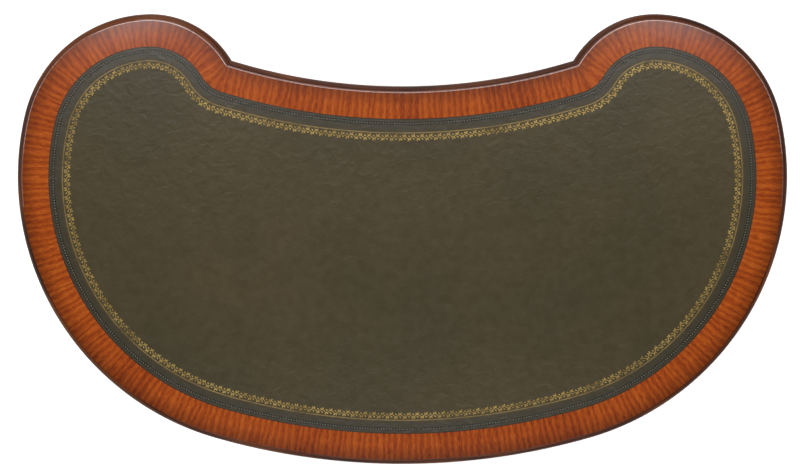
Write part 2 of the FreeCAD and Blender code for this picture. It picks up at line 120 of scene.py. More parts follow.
def outline_point(along, setback, line):
    """Point `along` round from the middle of the back, counted on `line`, and `setback` inwards."""
    half = half_length(line)
    along = (along + half) % (2 * half) - half
    side = math.copysign(1, along)
    left = abs(along)
    for stretch in STRETCHES:
        length = stretch_length(stretch, line)
        if left <= length or stretch is STRETCHES[-1]:
            turn = stretch.start + (stretch.end - stretch.start) * left / length
            point = stretch.centre + toward(turn) * (stretch.radius + stretch.inward * setback)
            return Vector((side * point.x, point.y, 0))
        left -= length


def outline_place(point):
    """How far along the outline a point of the top lies, and how far it is set back."""
    tolerance = 1e-4
    here = Vector((abs(point.x), point.y, 0))
    passed = 0
    found = (0, math.inf)
    for stretch in STRETCHES:
        low, high = sorted((stretch.start, stretch.end))
        ray = here - stretch.centre
        turn = math.atan2(ray.x, ray.y)
        turn += 2 * math.pi if turn < low - math.pi / 2 else 0
        setback = stretch.inward * (ray.length - stretch.radius)
        if low - tolerance <= turn <= high + tolerance and -tolerance <= setback < found[1]:
            found = (passed + stretch_length(stretch, BAND_LINE) * (turn - stretch.start)
                     / (stretch.end - stretch.start), setback)
        passed += stretch_length(stretch, BAND_LINE)
    return found


print("way round the top", round(2 * half_length(0), 3), "m")

# %% [markdown]
# ## Sweeping a band round the top
# The moulded edge, the veneer border, the leather's rim and its gold line are each one cross-section that is
# carried round the outline.
# A curve with a bevel object could do this, but its corners would bulge at the notches of the kneehole.
# Spinning the section about the centre of each arc is exact, and it is how a router on a trammel works.
# The right half is spun, the left half is mirrored, and the seam in the middle is merged.

# %% Helpers that turn a mesh under construction into a piece
SWEEP_STEP = 0.008
WELD = 1e-5
UP = Vector((0, 0, 1))


def finished(mesh, name, body, smooth_angle=40):
    """Object made from a mesh under construction, smooth across gentle edges, riding on a CAD body."""
    data = bpy.data.meshes.new(name)
    mesh.to_mesh(data)
    mesh.free()
    data.polygons.foreach_set("use_smooth", [True] * len(data.polygons))
    data.set_sharp_from_angle(angle=math.radians(smooth_angle))
    piece = bpy.data.objects.new(name, data)
    bpy.context.scene.collection.objects.link(piece)
    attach(piece, body)
    print(name, len(data.polygons), "faces")
    return piece


def swept(section, closed):
    """Mesh made by carrying a section, a list of (setback, height), round the whole outline."""
    mesh = bmesh.new()
    start = STRETCHES[0]
    corners = []
    for setback, height in section:
        corners.append(mesh.verts.new(start.centre + toward(0) * (start.radius - setback) + UP * height))
    pairs = list(zip(corners, corners[1:]))
    if closed:
        pairs.append((corners[-1], corners[0]))
    last = corners + [mesh.edges.new(pair) for pair in pairs]
    deepest = max(setback for setback, height in section)
    for stretch in STRETCHES:
        length = stretch_length(stretch, deepest if stretch.inward > 0 else 0)
        steps = max(2, math.ceil(length / SWEEP_STEP))
        spun = bmesh.ops.spin(mesh, geom=last, cent=stretch.centre, axis=(0, 0, -1),
                              angle=stretch.end - stretch.start, steps=steps)
        last = spun["geom_last"]
    everything = mesh.verts[:] + mesh.edges[:] + mesh.faces[:]
    bmesh.ops.mirror(mesh, geom=everything, axis="X", merge_dist=WELD)
    bmesh.ops.remove_doubles(mesh, verts=mesh.verts[:], dist=WELD)
    bmesh.ops.recalc_face_normals(mesh, faces=mesh.faces[:])
    return mesh


def lay_outline_map(mesh, top):
    """UV map in metres: along the outline, and inwards from it plus down from the top."""
    places = {vert: outline_place(vert.co) for vert in mesh.verts}
    layer = mesh.loops.layers.uv.new("outline")
    for face in mesh.faces:
        side = math.copysign(1, face.calc_center_median().x)
        for loop in face.loops:
            along, setback = places[loop.vert]
            loop[layer].uv = (side * along, setback + top - loop.vert.co.z)


# %% [markdown]
# ## Writing a finish down as nodes
# A finish is a small graph of nodes: where on the piece we are, a pattern at its real size, colour, gloss.
# The same lines would be typed hundreds of times, so one function adds a node with its settings and links.
# Colours are written as the hex values that a screen shows, and turned into the linear values that light
# needs.

# %% Helpers for finishes


def colour(hex_value):
    """Linear colour from an sRGB hex value."""
    parts = [int(hex_value[start:start + 2], 16) / 255 for start in (1, 3, 5)]
    linear = [part / 12.92 if part <= 0.04045 else ((part + 0.055) / 1.055) ** 2.4 for part in parts]
    return (*linear, 1)


def add(tree, kind, inputs=None, stops=None, **settings):
    """New node: `inputs` are values or sockets by name or number, `stops` are a ramp's (place, colour)."""
    node = tree.nodes.new(kind)
    for name, value in settings.items():
        setattr(node, name, value)
    for key, value in (inputs or {}).items():
        if isinstance(value, bpy.types.NodeSocket):
            tree.links.new(value, node.inputs[key])
        else:
            node.inputs[key].default_value = value
    if stops:
        for place, hex_value in stops[2:]:
            node.color_ramp.elements.new(place)
        for element, (place, hex_value) in zip(node.color_ramp.elements, sorted(stops)):
            element.position = place
            element.color = colour(hex_value)
    return node


def new_finish(name, **values):
    """Material with a principled shader whose plain values are set on its own sockets."""
    material = bpy.data.materials.new(name)
    material.use_nodes = True
    shader = material.node_tree.nodes["Principled BSDF"]
    for socket, value in values.items():
        shader.inputs[socket.replace("_", " ")].default_value = value
    return material, material.node_tree, shader


def paint(piece, material):
    """Gives a piece one finish all over."""
    piece.data.materials.clear()
    piece.data.materials.append(material)


# %% [markdown]
# ## The moulded edge
# A solid mahogany lipping runs round the top. Its upper arris is rounded over, its nose is a small flat,
# and below the nose a cove runs back towards the carcase. On the real desk it is cut with a moulding plane.
# It could be a bevelled slab, but a sweep keeps the round and the cove the same at every place.

# %% Section of the moulded edge
TOP = 0.762
CEILING = 0.732
GROUND = 0.7605
EDGE_WIDTH = 0.036
ARRIS_SETBACK = 0.010
NOSE_DROP = 0.013
NOSE_HEIGHT = 0.004
COVE_SETBACK = 0.014
COVE_FOOT = 0.004
ARC_STEPS = 8


def arc_between(start, end, centre, steps):
    """Points of the shorter arc from `start` to `end` about `centre`, without `start`."""
    middle = Vector(centre)
    first = Vector(start) - middle
    turn = first.angle_signed(Vector(end) - middle)
    turns = [-turn * step / steps for step in range(1, steps + 1)]
    return [tuple(middle + Matrix.Rotation(part, 2) @ first) for part in turns]


ovolo_height = NOSE_DROP - (TOP - GROUND)
ovolo_radius = (ARRIS_SETBACK ** 2 + ovolo_height ** 2) / (2 * ARRIS_SETBACK)
nose_top = TOP - NOSE_DROP
quirk = nose_top - NOSE_HEIGHT
cove_foot = CEILING + COVE_FOOT
edge_section = [(EDGE_WIDTH, GROUND), (ARRIS_SETBACK, GROUND)]
edge_section += arc_between((ARRIS_SETBACK, GROUND), (0, nose_top), (ovolo_radius, nose_top), ARC_STEPS)
edge_section += [(0, quirk)]
cove_height = quirk - cove_foot
cove_steps = [math.pi / 2 * step / ARC_STEPS for step in range(1, ARC_STEPS + 1)]
edge_section += [(COVE_SETBACK * math.sin(angle), cove_foot + cove_height * (1 - math.sin(angle)))
                 for angle in cove_steps]
edge_section += [(COVE_SETBACK, CEILING), (EDGE_WIDTH, CEILING)]
print("section of the moulded edge has", len(edge_section), "corners")

# %% Sweep the moulded edge
edge_mesh = swept(edge_section, closed=True)
lay_outline_map(edge_mesh, TOP)
moulded_edge = finished(edge_mesh, "moulded_edge", "carcase")
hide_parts("edge_moulding")

# %% [markdown]
# ## The finish of the moulded edge
# Mahogany that runs lengthwise, stained dark and French-polished. The grain follows the edge round its
# curves, so the pattern reads the outline map and not plain space. The polish is a thin clear coat over the
# wood: the eye sees a dark frame round the lighter border, with a soft gleam.

# %% Dark polished mahogany, grain along the edge
GRAIN_LENGTH = 0.180
GRAIN_WIDTH = 0.004
edge_finish, tree, shader = new_finish("french_polished_mahogany_edge", Roughness=0.5,
                                       Specular_IOR_Level=0.1, Coat_Weight=0.12, Coat_Roughness=0.2)
outline_map = add(tree, "ShaderNodeUVMap", uv_map="outline")
lengthwise = add(tree, "ShaderNodeMapping", {"Vector": outline_map.outputs[0],
                                             "Scale": (1 / GRAIN_LENGTH, 1 / GRAIN_WIDTH, 1)})
streaks = add(tree, "ShaderNodeTexNoise", {"Vector": lengthwise.outputs[0], "Scale": 1.0, "Detail": 4.0,
                                           "Distortion": 0.6})
tones = add(tree, "ShaderNodeValToRGB", {"Fac": streaks.outputs[0]},
            stops=[(0.36, "#30160B"), (0.64, "#673719"), (0.5, "#4C2613")])
grain_bump = add(tree, "ShaderNodeBump", {"Height": streaks.outputs[0], "Strength": 0.12,
                                          "Distance": 0.0004})
tree.links.new(tones.outputs[0], shader.inputs["Base Color"])
tree.links.new(grain_bump.outputs[0], shader.inputs["Normal"])
paint(moulded_edge, edge_finish)
print("finish of the moulded edge:", edge_finish.name)

# %% [markdown]
# ## The crossbanded border
# Inside the edge lies a band of mahogany veneer, 46 mm wide, laid in short pieces with the grain across the
# band. A texture on a flat ring would show straight grain that ignores the curves. The sweep's outline map
# turns with the edge, so each strip of veneer points inwards, as the real pieces do.
# The outer rim is rubbed round, so it is given a small quarter-round that catches the light.

# %% Sweep the veneer border
LEATHER_SETBACK = 0.056
RIM_WIDTH = 0.0028
RIM_HEIGHT = 0.0012
RIM_STEPS = 7
band_section = [(ARRIS_SETBACK, GROUND)]
for step in range(RIM_STEPS + 1):
    angle = math.pi / 2 * step / RIM_STEPS
    band_section.append((ARRIS_SETBACK + RIM_WIDTH * (1 - math.cos(angle)),
                         TOP - RIM_HEIGHT * (1 - math.sin(angle))))
band_section += [(LEATHER_SETBACK, TOP), (LEATHER_SETBACK, GROUND)]
band_mesh = swept(band_section, closed=True)
lay_outline_map(band_mesh, TOP)
veneer_border = finished(band_mesh, "veneer_border", "carcase")
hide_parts("crossband_border")

# %% [markdown]
# ## The finish of the crossbanding
# The veneer is cut from ribbon mahogany: light and dark streaks, 11 mm apart, run across the band.
# A stretched noise could draw them, but a wave with a wandering phase keeps their even spacing.
# Finer lines lie between the streaks, soft patches lie over them, and each piece has its own tone.
# Clear polish over it gives the eye a warm, deep colour that shifts along the band.

# %% Figure of the crossbanding
# A wave texture of scale 1 repeats after this length, so a streak's real size is worked out from it.
WAVE_PERIOD = 2 * math.pi / 20
VENEER_PIECE = 0.105
PIECE_TONE = 0.10
RIBBON = 0.011
LINE_WIDTH = 0.0020
LINE_SHARE = 0.76
PATCH = 0.024
PATCH_TONE = 0.30
SLOW_ACROSS = 0.20
band_finish, tree, shader = new_finish("crossbanded_mahogany_veneer", Roughness=0.5, Specular_IOR_Level=0.0,
                                       Coat_Weight=1.0, Coat_Roughness=0.22)
outline_map = add(tree, "ShaderNodeUVMap", uv_map="outline")
parted = add(tree, "ShaderNodeSeparateXYZ", {"Vector": outline_map.outputs[0]})
piece_count = add(tree, "ShaderNodeMath", {0: parted.outputs[0], 1: VENEER_PIECE}, operation="DIVIDE")
piece_number = add(tree, "ShaderNodeMath", {0: piece_count.outputs[0]}, operation="FLOOR")
piece_tone = add(tree, "ShaderNodeTexWhiteNoise", {"W": piece_number.outputs[0]}, noise_dimensions="1D")
grain_map = add(tree, "ShaderNodeMapping", {"Vector": outline_map.outputs[0],
                                            "Scale": (1, SLOW_ACROSS, 1)})
ribbons = add(tree, "ShaderNodeTexWave", {"Vector": grain_map.outputs[0], "Scale": WAVE_PERIOD / RIBBON,
                                          "Distortion": 7.0, "Detail": 3.0, "Detail Scale": 1.6,
                                          "Detail Roughness": 0.6})
lines = add(tree, "ShaderNodeTexNoise", {"Vector": grain_map.outputs[0], "Scale": 1 / LINE_WIDTH,
                                         "Detail": 2.0})
shares = add(tree, "ShaderNodeMix", {0: LINE_SHARE, 2: ribbons.outputs[1], 3: lines.outputs[0]})
lifted = add(tree, "ShaderNodeMath", {0: piece_tone.outputs[0], 1: PIECE_TONE, 2: shares.outputs[0]},
             operation="MULTIPLY_ADD")
patches = add(tree, "ShaderNodeTexNoise", {"Vector": grain_map.outputs[0], "Scale": 1 / PATCH,
                                           "Detail": 1.0})
patchy = add(tree, "ShaderNodeMath", {0: patches.outputs[0], 1: PATCH_TONE, 2: lifted.outputs[0]},
             operation="MULTIPLY_ADD")
tones = add(tree, "ShaderNodeValToRGB", {"Fac": patchy.outputs[0]},
            stops=[(0.45, "#782C0A"), (0.93, "#AE5618"), (0.63, "#903D0D"), (0.77, "#A04711")])
print("about", round(2 * half_length(BAND_LINE) / VENEER_PIECE), "pieces of veneer go round")

# %% Polish of the crossbanding, with painted shade at its rim
# The outer part of the band is darker: partly old polish and dust, where no arm rubs it clean, and partly
# painted shade where the rounded edge falls away from the light.
DARK_RIM = (0.012, 0.036)
DARK_RIM_SHARE = 0.52
rim_shade = add(tree, "ShaderNodeMapRange", {"Value": parted.outputs[1], "From Min": DARK_RIM[0],
                                             "From Max": DARK_RIM[1], "To Min": DARK_RIM_SHARE,
                                             "To Max": 1.0})
shaded = add(tree, "ShaderNodeMix", {0: 1.0, 6: tones.outputs[0], 7: rim_shade.outputs[0]},
             data_type="RGBA", blend_type="MULTIPLY")
grain_bump = add(tree, "ShaderNodeBump", {"Height": lines.outputs[0], "Strength": 0.10, "Distance": 0.0003})
tree.links.new(shaded.outputs[2], shader.inputs["Base Color"])
tree.links.new(grain_bump.outputs[0], shader.inputs["Normal"])
paint(veneer_border, band_finish)
print("finish of the border:", band_finish.name)

# %% [markdown]
# ## The rim of the border
# On the user's side sleeves have burnished the rounded rim, so there it is the brightest line on the desk.
# Behind, nobody touches it, and it has gone dull. A painted mask could change the shine, but the rim has rows
# of faces of its own, so two copies of the veneer's finish with another shine are given to those faces.

# %% Waxed rim in front, dull rim behind
WAXED_TO = -0.06
WAXED, DULL = 1, 2


def add_rim_finish(name, shine):
    """Next slot of the border: a copy of the veneer's finish with other values on its shader."""
    finish = band_finish.copy()
    finish.name = name
    for socket, value in shine.items():
        finish.node_tree.nodes["Principled BSDF"].inputs[socket].default_value = value
    veneer_border.data.materials.append(finish)


add_rim_finish("waxed_mahogany_rim", {"Specular IOR Level": 0.8, "Roughness": 0.08, "Coat Roughness": 0.05})
add_rim_finish("dull_mahogany_rim", {"Coat Weight": 0.2, "Coat Roughness": 0.35})
rim_faces = [face for face in veneer_border.data.polygons
             if outline_place(face.center)[1] < ARRIS_SETBACK + RIM_WIDTH]
for face in rim_faces:
    face.material_index = WAXED if face.center.y < WAXED_TO else DULL
print("rim of", len(rim_faces), "faces")

# %% [markdown]
# ## The leather
# A single hide is skived thin and glued into the field that the border leaves, flush with the veneer.
# Where they meet a narrow channel is left. A little way in, a heated wheel has pressed a groove with a rope
# of small beads standing in it. Both could be a bump in the finish, but real grooves and beads keep their
# shade and glint when the light moves.
# The rim is swept, because the tooling follows it, and the plain middle is filled with one flat sheet.

# %% Sweep the rim of the leather and fill its field
FIELD_SETBACK = 0.104
EDGE_CHANNEL = 0.0010
ROPE_GROOVE = (0.0612, 0.0668)
GROOVE_WALL = 0.0004
GROOVE_DEPTH = 0.0005
FACING_UP = 0.9
groove_floor = TOP - GROOVE_DEPTH
channel_end = LEATHER_SETBACK + EDGE_CHANNEL
leather_section = [(FIELD_SETBACK, GROUND), (LEATHER_SETBACK, GROUND), (LEATHER_SETBACK, groove_floor),
                   (channel_end, groove_floor), (channel_end + GROOVE_WALL, TOP), (ROPE_GROOVE[0], TOP),
                   (ROPE_GROOVE[0] + GROOVE_WALL, groove_floor),
                   (ROPE_GROOVE[1] - GROOVE_WALL, groove_floor), (ROPE_GROOVE[1], TOP), (FIELD_SETBACK, TOP)]
leather_mesh = swept(leather_section, closed=False)
lay_outline_map(leather_mesh, TOP)
for level in (GROUND, TOP):
    open_edges = [edge for edge in leather_mesh.edges
                  if edge.is_boundary and abs(edge.verts[0].co.z - level) < WELD]
    bmesh.ops.triangle_fill(leather_mesh, edges=open_edges, use_beauty=True)
bmesh.ops.recalc_face_normals(leather_mesh, faces=leather_mesh.faces[:])
outline_layer = leather_mesh.loops.layers.uv["outline"]
for face in leather_mesh.faces:
    if len(face.verts) == 3:
        for loop in face.loops:
            loop[outline_layer].uv = (0, FIELD_SETBACK)
leather_area = sum(face.calc_area() for face in leather_mesh.faces if face.normal.z > FACING_UP)
leather = finished(leather_mesh, "leather", "carcase")
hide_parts("leather_surface")
print("leather area", round(leather_area, 3), "square metres")

# %% The rope of beads in the groove
BEAD_PITCH = 0.0046
BEAD_SIZE = (0.0040, 0.0019, 0.0020)
BEAD_SLANT = math.radians(58)
ROPE_LINE = sum(ROPE_GROOVE) / 2


def repeat_along(mesh, count, step):
    """Repeats everything in the mesh along a straight line, until there are `count` of it."""
    first = mesh.verts[:] + mesh.edges[:] + mesh.faces[:]
    for number in range(1, count):
        copied = bmesh.ops.duplicate(mesh, geom=first)
        moved = [item for item in copied["geom"] if isinstance(item, bmesh.types.BMVert)]
        bmesh.ops.translate(mesh, vec=(number * step, 0, 0), verts=moved)


def bend_round(mesh, line):
    """Bends a straight row of shapes round the desk, on the outline moved inwards by `line`."""
    for vert in mesh.verts:
        vert.co = outline_point(vert.co.x, line + vert.co.y, line) + UP * vert.co.z


rope_length = 2 * half_length(ROPE_LINE)
bead_count = round(rope_length / BEAD_PITCH)
rope_mesh = bmesh.new()
lay = Matrix.Translation((0, 0, groove_floor)) @ Matrix.Rotation(BEAD_SLANT, 4, "Z")
lay = lay @ Matrix.Diagonal((*BEAD_SIZE, 1))
bmesh.ops.create_uvsphere(rope_mesh, u_segments=8, v_segments=4, radius=0.5, matrix=lay)
repeat_along(rope_mesh, bead_count, rope_length / bead_count)
bend_round(rope_mesh, ROPE_LINE)
bmesh.ops.recalc_face_normals(rope_mesh, faces=rope_mesh.faces[:])
lay_outline_map(rope_mesh, TOP)
blind_rope = finished(rope_mesh, "blind_tooled_rope", "carcase", smooth_angle=80)

# %% [markdown]
# ## The finish of the leather
# Vegetable-tanned skiver, dyed green and browned with age: a fine pebble, faint clouds and a dull wax sheen.
# One flat colour would look like paint, so slow clouds and a quick mottle vary it. Hide that has been glued
# down for long lies in low creases, which show where it mirrors a lamp. They are too low to be worth a mesh.
# The pebble of such a hide is under 1 mm. It is drawn at 2 mm, so that it still shows in the picture.
# Outside the gold the hide is a shade darker, because less light and wear has reached it, and the wax has
# stayed on it.

# %% Aged olive hide
PEBBLE = 0.0020
PEBBLE_DEPTH = 0.0004
CLOUD = 0.320
MOTTLE = 0.014
CREASE = 0.016
CREASE_DEPTH = 0.0016
HIDE_ROUGHNESS = (0.38, 0.44)
MARGIN = (0.074, 0.079)
MARGIN_POLISH = 0.04
MARGIN_WAX = 0.25
leather_finish, tree, shader = new_finish("aged_olive_desk_leather", Roughness=0.40, Coat_Roughness=0.36,
                                          Coat_IOR=1.7)
place = add(tree, "ShaderNodeTexCoord")
clouds = add(tree, "ShaderNodeTexNoise", {"Vector": place.outputs["Object"], "Scale": 1 / CLOUD,
                                          "Detail": 3.0})
mottle = add(tree, "ShaderNodeTexNoise", {"Vector": place.outputs["Object"], "Scale": 1 / MOTTLE,
                                          "Detail": 4.0})
pebble = add(tree, "ShaderNodeTexVoronoi", {"Vector": place.outputs["Object"], "Scale": 1 / PEBBLE})
field_tones = add(tree, "ShaderNodeValToRGB", {"Fac": clouds.outputs[0]},
                  stops=[(0.36, "#3A3218"), (0.64, "#43381B")])
mottle_tones = add(tree, "ShaderNodeValToRGB", {"Fac": mottle.outputs[0]},
                   stops=[(0.30, "#F0EFEC"), (0.70, "#FFFFFF")])
field = add(tree, "ShaderNodeMix", {0: 1.0, 6: field_tones.outputs[0], 7: mottle_tones.outputs[0]},
            data_type="RGBA", blend_type="MULTIPLY")
outline_map = add(tree, "ShaderNodeUVMap", uv_map="outline")
parted = add(tree, "ShaderNodeSeparateXYZ", {"Vector": outline_map.outputs[0]})
margin = add(tree, "ShaderNodeMapRange", {"Value": parted.outputs[1], "From Min": MARGIN[0],
                                          "From Max": MARGIN[1], "To Min": 1.0, "To Max": 0.0})
margined = add(tree, "ShaderNodeMix", {0: margin.outputs[0], 6: field.outputs[2], 7: colour("#322B16")},
               data_type="RGBA")
gloss = add(tree, "ShaderNodeMapRange", {"Value": mottle.outputs[0], "From Min": 0.3, "From Max": 0.7,
                                         "To Min": HIDE_ROUGHNESS[0], "To Max": HIDE_ROUGHNESS[1]})
polished = add(tree, "ShaderNodeMath", {0: margin.outputs[0], 1: -MARGIN_POLISH, 2: gloss.outputs[0]},
               operation="MULTIPLY_ADD")
creases = add(tree, "ShaderNodeTexNoise", {"Vector": place.outputs["Object"], "Scale": 1 / CREASE,
                                           "Detail": 2.0, "Distortion": 0.8})
crease_bump = add(tree, "ShaderNodeBump", {"Height": creases.outputs[0], "Strength": 0.5,
                                           "Distance": CREASE_DEPTH})
pebble_bump = add(tree, "ShaderNodeBump", {"Height": pebble.outputs["Distance"], "Strength": 0.13,
                                           "Distance": PEBBLE_DEPTH, "Normal": crease_bump.outputs[0]})
waxed = add(tree, "ShaderNodeMath", {0: margin.outputs[0], 1: MARGIN_WAX}, operation="MULTIPLY")
tree.links.new(waxed.outputs[0], shader.inputs["Coat Weight"])
tree.links.new(polished.outputs[0], shader.inputs["Roughness"])
tree.links.new(pebble_bump.outputs[0], shader.inputs["Normal"])
print("margin of the hide ends", MARGIN[1], "m inside the outline")

# %% Scorched and shaded grooves, and rubbed and highlit beads
# All that lies below the surface is dark: partly the scorch of the heated wheel, and partly painted shade
# in the groove and in the channel at the leather's edge. The beads stand a little above it, and their tops
# are painted pale: partly rubbed by sleeves, and partly a painted highlight.
SCORCH_AND_SHADE = 0.85
PALE_TOP_RISE = 0.0004
WEAR_AND_HIGHLIGHT_SHARE = 0.9
parted = add(tree, "ShaderNodeSeparateXYZ", {"Vector": place.outputs["Object"]})
# Below the surface: scorch, and painted shade in the groove and in the edge channel.
pressed = add(tree, "ShaderNodeMapRange", {"Value": parted.outputs[2], "From Min": groove_floor,
                                           "From Max": TOP, "To Min": SCORCH_AND_SHADE, "To Max": 0.0})
tooled = add(tree, "ShaderNodeMix", {0: pressed.outputs[0], 6: margined.outputs[2], 7: colour("#15140D")},
             data_type="RGBA")
# Above the surface the bead tops are painted pale: rubbing wear and a painted highlight.
rubbed = add(tree, "ShaderNodeMapRange", {"Value": parted.outputs[2], "From Min": TOP,
                                          "From Max": TOP + PALE_TOP_RISE, "To Min": 0.0,
                                          "To Max": WEAR_AND_HIGHLIGHT_SHARE})
worn = add(tree, "ShaderNodeMix", {0: rubbed.outputs[0], 6: tooled.outputs[2], 7: colour("#7F785E")},
           data_type="RGBA")
tree.links.new(worn.outputs[2], shader.inputs["Base Color"])
for piece in (leather, blind_rope):
    paint(piece, leather_finish)
print("finish of the leather and its rope:", leather_finish.name)

# %% [markdown]
# ## The gold tooling
# Inside the blind lines a hot wheel has run gold leaf into the hide: a plain fillet, then a leaf scroll.
# The scroll could be painted in the leather's finish, but thin pieces stay crisp when the eye comes close.
# One half wave of it is modelled flat: a stem with a leaf in its hollow and two on its back. It is turned
# over for the other half, repeated along a straight line, and that line is then bent round the desk.

# %% The gold fillet
FILLET_SETBACK = 0.0790
FILLET_WIDTH = 0.0018
LEAF_RISE = 0.00012
LEAF_SINK = 0.00020
fillet_inside = FILLET_SETBACK + FILLET_WIDTH
fillet_section = [(FILLET_SETBACK, TOP - LEAF_SINK), (FILLET_SETBACK, TOP + LEAF_RISE),
                  (fillet_inside, TOP + LEAF_RISE), (fillet_inside, TOP - LEAF_SINK)]
gold_fillet = finished(swept(fillet_section, closed=True), "gold_fillet", "carcase")

# %% Half a wave of the leaf scroll, laid flat
SCROLL_LINE = 0.0878
WAVE = 0.015
SWING = 0.0022
STEM_WIDTH = 0.0016
LEAF_LENGTH = 0.0045
LEAF_WIDTH = 0.0025
LEAF_OVER_STEM = 0.00005
# Each leaf has its share of the way along the half wave, its place across it, and its turn in degrees.
HOLLOW_LEAF = (0.50, -0.0022, 35)
BACK_LEAVES = ((0.36, SWING + 0.0018, 115), (0.76, SWING + 0.0010, 50))
half_scroll = half_length(SCROLL_LINE)
wave_count = round(2 * half_scroll / WAVE)
wave_length = 2 * half_scroll / wave_count


def add_leaf(mesh, x, y, turn):
    """Small leaf on the flat, its middle at x and y, turned by so many degrees."""
    turned = Matrix.Translation((x, y, LEAF_OVER_STEM)) @ Matrix.Rotation(math.radians(turn), 4, "Z")
    lay = turned @ Matrix.Diagonal((LEAF_LENGTH, LEAF_WIDTH, 1, 1))
    bmesh.ops.create_circle(mesh, cap_ends=True, radius=0.5, segments=6, matrix=lay)


def half_wave(mesh):
    """Stem that swings to one side, a leaf in its hollow and two on its back."""
    half = wave_length / 2
    lay = Matrix.Translation((half / 2, 0, 0)) @ Matrix.Diagonal((half, STEM_WIDTH, 1, 1))
    stem = bmesh.ops.create_grid(mesh, x_segments=8, y_segments=1, size=0.5, matrix=lay)["verts"]
    for vert in stem:
        vert.co.y += SWING * math.sin(math.pi * vert.co.x / half)
    for share, across, turn in (HOLLOW_LEAF, *BACK_LEAVES):
        add_leaf(mesh, half * share, across, turn)


scroll_mesh = bmesh.new()
half_wave(scroll_mesh)
one_half = scroll_mesh.verts[:] + scroll_mesh.edges[:] + scroll_mesh.faces[:]
copied = bmesh.ops.duplicate(scroll_mesh, geom=one_half)
turned_over = [item for item in copied["geom"] if isinstance(item, bmesh.types.BMVert)]
bmesh.ops.rotate(scroll_mesh, cent=(wave_length / 2, 0, 0), matrix=Matrix.Rotation(math.pi, 3, "Z"),
                 verts=turned_over)
print("one wave of the scroll has", len(scroll_mesh.faces), "faces;", wave_count, "waves go round")

# %% Repeat the wave, bend it round the desk and give it the thickness of the leaf
repeat_along(scroll_mesh, wave_count, wave_length)
bmesh.ops.translate(scroll_mesh, vec=UP * (TOP + LEAF_RISE), verts=scroll_mesh.verts[:])
bend_round(scroll_mesh, SCROLL_LINE)
bmesh.ops.recalc_face_normals(scroll_mesh, faces=scroll_mesh.faces[:])
bmesh.ops.reverse_faces(scroll_mesh, faces=[face for face in scroll_mesh.faces if face.normal.z < 0])
sunk = bmesh.ops.extrude_face_region(scroll_mesh, geom=scroll_mesh.faces[:], use_keep_orig=True)
sunk_verts = [item for item in sunk["geom"] if isinstance(item, bmesh.types.BMVert)]
bmesh.ops.translate(scroll_mesh, vec=UP * -(LEAF_RISE + LEAF_SINK), verts=sunk_verts)
bmesh.ops.recalc_face_normals(scroll_mesh, faces=scroll_mesh.faces[:])
gold_scroll = finished(scroll_mesh, "gold_scroll", "carcase")

# %% [markdown]
# ## The finish of the gold
# Beaten gold pressed into hide: soft-edged, a little broken, and rubbed thin where arms have rested.
# A clean metal would look like new wire. Here two noises, one slow and one fine, wear it through to the hide,
# and half of its metal shine is taken away. The plain fillet is the duller, as more of its gold has gone.

# %% Worn gold leaf
RUB = 0.030
SPECK = 0.0025
SPECK_SHARE = 0.5
FILLET_GOLD = [(0.36, "#625032"), (0.66, "#967D4E"), (0.46, "#7E6940")]
SCROLL_GOLD = [(0.36, "#665226"), (0.66, "#BCA05C"), (0.46, "#987E42")]


def gold_leaf(name, tones):
    """Worn gold, darkest where it is rubbed through to the hide."""
    material, tree, shader = new_finish(name, Roughness=0.45, Metallic=0.5)
    place = add(tree, "ShaderNodeTexCoord")
    rubbed = add(tree, "ShaderNodeTexNoise", {"Vector": place.outputs["Object"], "Scale": 1 / RUB,
                                              "Detail": 3.0})
    specks = add(tree, "ShaderNodeTexNoise", {"Vector": place.outputs["Object"], "Scale": 1 / SPECK,
                                              "Detail": 2.0})
    wear = add(tree, "ShaderNodeMix", {0: SPECK_SHARE, 2: rubbed.outputs[0], 3: specks.outputs[0]})
    ramp = add(tree, "ShaderNodeValToRGB", {"Fac": wear.outputs[0]}, stops=tones)
    bump = add(tree, "ShaderNodeBump", {"Height": specks.outputs[0], "Strength": 0.2, "Distance": 0.0003})
    tree.links.new(ramp.outputs[0], shader.inputs["Base Color"])
    tree.links.new(bump.outputs[0], shader.inputs["Normal"])
    return material


paint(gold_fillet, gold_leaf("rubbed_gold_leaf_fillet", FILLET_GOLD))
paint(gold_scroll, gold_leaf("worn_gold_leaf_scroll", SCROLL_GOLD))
print("gold given to", gold_fillet.name, "and", gold_scroll.name)

# %% [markdown]
# ## Cockbeads on the drawers
# A thin half-round bead stands proud round each drawer front and hides the joint between veneer and drawer.
# The fronts are bowed, so a straight frame won't do. The bead is built as a flat frame of loops, bridged
# from one to the next, and its flat measures are then taken as measures along the bowed front.

# %% A bead for each drawer front
FRONT_SETBACK = 0.035
BEAD_WIDTH = 0.0032
BEAD_HEIGHT = 0.0024
BEAD_SINK = 0.0010
BEAD_CUTS = 30
BEAD_STEPS = 6


def front_along(x):
    """How far along the outline the carcase front lies at `x`."""
    passed = 0
    for stretch in STRETCHES:
        low, high = sorted((stretch.start, stretch.end))
        reach = (abs(x) - stretch.centre.x) / max(stretch.radius + stretch.inward * FRONT_SETBACK, WELD)
        if abs(reach) <= 1:
            turn = math.asin(reach) if stretch is STRETCHES[-1] else math.pi - math.asin(reach)
            if low <= turn <= high:
                share = (turn - stretch.start) / (stretch.end - stretch.start)
                along = passed + share * stretch_length(stretch, FRONT_SETBACK)
                return along if x > 0 else 2 * half_length(FRONT_SETBACK) - along
        passed += stretch_length(stretch, FRONT_SETBACK)


def rectangle(mesh, inset, height, corners):
    """Closed loop of four edges, moved in from the corners by `inset` and lifted by `height`."""
    (x0, y0), (x1, y1) = corners
    left, right = x0 + inset, x1 - inset
    low, high = y0 + inset, y1 - inset
    places = ((left, low), (right, low), (right, high), (left, high))
    verts = [mesh.verts.new((*place, height)) for place in places]
    return [mesh.edges.new((verts[step], verts[(step + 1) % 4])) for step in range(4)]


